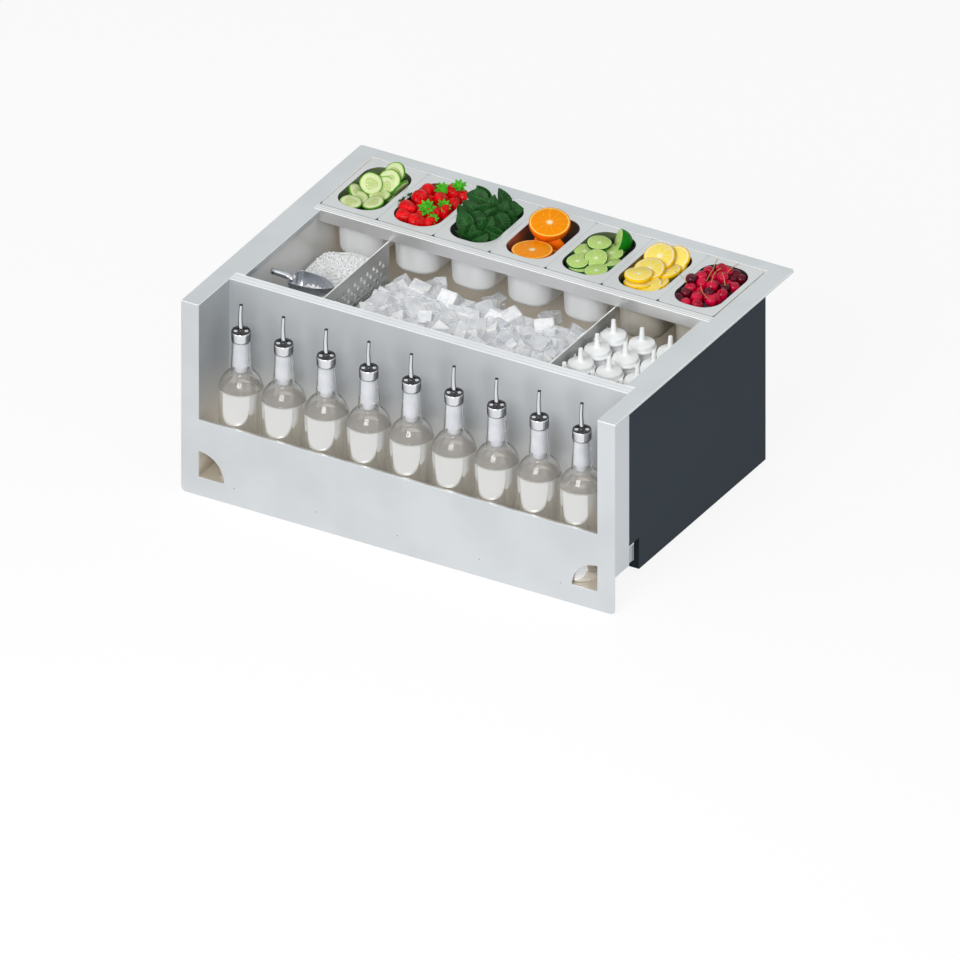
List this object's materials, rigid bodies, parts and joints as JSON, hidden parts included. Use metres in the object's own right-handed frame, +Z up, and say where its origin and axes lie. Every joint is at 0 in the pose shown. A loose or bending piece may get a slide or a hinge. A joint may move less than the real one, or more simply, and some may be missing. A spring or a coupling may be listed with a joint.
{
  "type": "cocktail station",
  "caption": "Drop-in steel cocktail station: bottle rail behind a cut-out fascia, insulated ice well with lift-out dividers, and garnish pans set flush in the flange.",
  "frame": {"origin": "under the middle of the station, level with the fascia's lower edge", "axes": "+X to the right seen from the front, +Y from the fascia to the back, +Z up"},
  "size_m": [0.835, 0.6, 0.3895],
  "materials": {
    "satin_steel": "satin",
    "well_steel": "satin",
    "pan_steel": "satin",
    "polished_steel": "polished",
    "drain_brass": "satin",
    "casing_paint": "satin",
    "foam": "matte",
    "seal_rubber": "matte",
    "ice": "gloss",
    "squeeze_plastic": "satin",
    "cap_plastic": "satin",
    "clear_glass": "gloss",
    "pourer_chrome": "polished",
    "cucumber_slices": "satin",
    "strawberries": "satin",
    "mint_leaves": "satin",
    "orange_halves": "satin",
    "lime_slices": "satin",
    "lemon_slices": "satin",
    "cherries": "satin"
  },
  "bodies": {
    "station": {"top_flange": "satin_steel", "front_fascia": "satin_steel", "rail_trough": "satin_steel", "rim_cap": "satin_steel", "garnish_ledge": "satin_steel", "rear_ledge": "satin_steel", "joining_brackets": "satin_steel", "ice_well": "well_steel", "ice_grate": "well_steel", "divider_guides": "well_steel", "drain_strainer": "polished_steel", "drain_tail": "polished_steel", "drain_nut": "drain_brass", "outer_casing": "casing_paint", "insulation": "foam", "flange_seal": "seal_rubber", "crushed_ice": "ice", "cube_ice": "ice", "squeeze_bottles": "squeeze_plastic", "squeeze_caps": "cap_plastic"},
    "pan_1": {"garnish_pan_1": "pan_steel", "cucumber_slices": "cucumber_slices"},
    "pan_2": {"garnish_pan_2": "pan_steel", "strawberries": "strawberries"},
    "pan_3": {"garnish_pan_3": "pan_steel", "mint_leaves": "mint_leaves"},
    "pan_4": {"garnish_pan_4": "pan_steel", "orange_halves": "orange_halves"},
    "pan_5": {"garnish_pan_5": "pan_steel", "lime_slices": "lime_slices"},
    "pan_6": {"garnish_pan_6": "pan_steel", "lemon_slices": "lemon_slices"},
    "pan_7": {"garnish_pan_7": "pan_steel", "cherries": "cherries"},
    "left_divider": {"left_divider": "well_steel"},
    "right_divider": {"right_divider": "well_steel"},
    "scoop": {"ice_scoop": "polished_steel"},
    "bottle_1": {"bottle_1": "clear_glass", "pourer_1": "pourer_chrome"},
    "bottle_2": {"bottle_2": "clear_glass", "pourer_2": "pourer_chrome"},
    "bottle_3": {"bottle_3": "clear_glass", "pourer_3": "pourer_chrome"},
    "bottle_4": {"bottle_4": "clear_glass", "pourer_4": "pourer_chrome"},
    "bottle_5": {"bottle_5": "clear_glass", "pourer_5": "pourer_chrome"},
    "bottle_6": {"bottle_6": "clear_glass", "pourer_6": "pourer_chrome"},
    "bottle_7": {"bottle_7": "clear_glass", "pourer_7": "pourer_chrome"},
    "bottle_8": {"bottle_8": "clear_glass", "pourer_8": "pourer_chrome"},
    "bottle_9": {"bottle_9": "clear_glass", "pourer_9": "pourer_chrome"}
  },
  "joints": [
    {"name": "pan_1_lift", "type": "slide", "parent": "station", "child": "pan_1", "axis": [0, 0, 1], "range_m": [0, 0.16]},
    {"name": "pan_2_lift", "type": "slide", "parent": "station", "child": "pan_2", "axis": [0, 0, 1], "range_m": [0, 0.16]},
    {"name": "pan_3_lift", "type": "slide", "parent": "station", "child": "pan_3", "axis": [0, 0, 1], "range_m": [0, 0.16]},
    {"name": "pan_4_lift", "type": "slide", "parent": "station", "child": "pan_4", "axis": [0, 0, 1], "range_m": [0, 0.16]},
    {"name": "pan_5_lift", "type": "slide", "parent": "station", "child": "pan_5", "axis": [0, 0, 1], "range_m": [0, 0.16]},
    {"name": "pan_6_lift", "type": "slide", "parent": "station", "child": "pan_6", "axis": [0, 0, 1], "range_m": [0, 0.16]},
    {"name": "pan_7_lift", "type": "slide", "parent": "station", "child": "pan_7", "axis": [0, 0, 1], "range_m": [0, 0.16]},
    {"name": "left_divider_lift", "type": "slide", "parent": "station", "child": "left_divider", "axis": [0, 0, 1], "range_m": [0, 0.27]},
    {"name": "right_divider_lift", "type": "slide", "parent": "station", "child": "right_divider", "axis": [0, 0, 1], "range_m": [0, 0.27]},
    {"name": "scoop_lift", "type": "slide", "parent": "station", "child": "scoop", "axis": [0, 0, 1], "range_m": [0, 0.2]},
    {"name": "bottle_1_lift", "type": "slide", "parent": "station", "child": "bottle_1", "axis": [0, 0, 1], "range_m": [0, 0.36]},
    {"name": "bottle_2_lift", "type": "slide", "parent": "station", "child": "bottle_2", "axis": [0, 0, 1], "range_m": [0, 0.36]},
    {"name": "bottle_3_lift", "type": "slide", "parent": "station", "child": "bottle_3", "axis": [0, 0, 1], "range_m": [0, 0.36]},
    {"name": "bottle_4_lift", "type": "slide", "parent": "station", "child": "bottle_4", "axis": [0, 0, 1], "range_m": [0, 0.36]},
    {"name": "bottle_5_lift", "type": "slide", "parent": "station", "child": "bottle_5", "axis": [0, 0, 1], "range_m": [0, 0.36]},
    {"name": "bottle_6_lift", "type": "slide", "parent": "station", "child": "bottle_6", "axis": [0, 0, 1], "range_m": [0, 0.36]},
    {"name": "bottle_7_lift", "type": "slide", "parent": "station", "child": "bottle_7", "axis": [0, 0, 1], "range_m": [0, 0.36]},
    {"name": "bottle_8_lift", "type": "slide", "parent": "station", "child": "bottle_8", "axis": [0, 0, 1], "range_m": [0, 0.36]},
    {"name": "bottle_9_lift", "type": "slide", "parent": "station", "child": "bottle_9", "axis": [0, 0, 1], "range_m": [0, 0.36]}
  ]
}
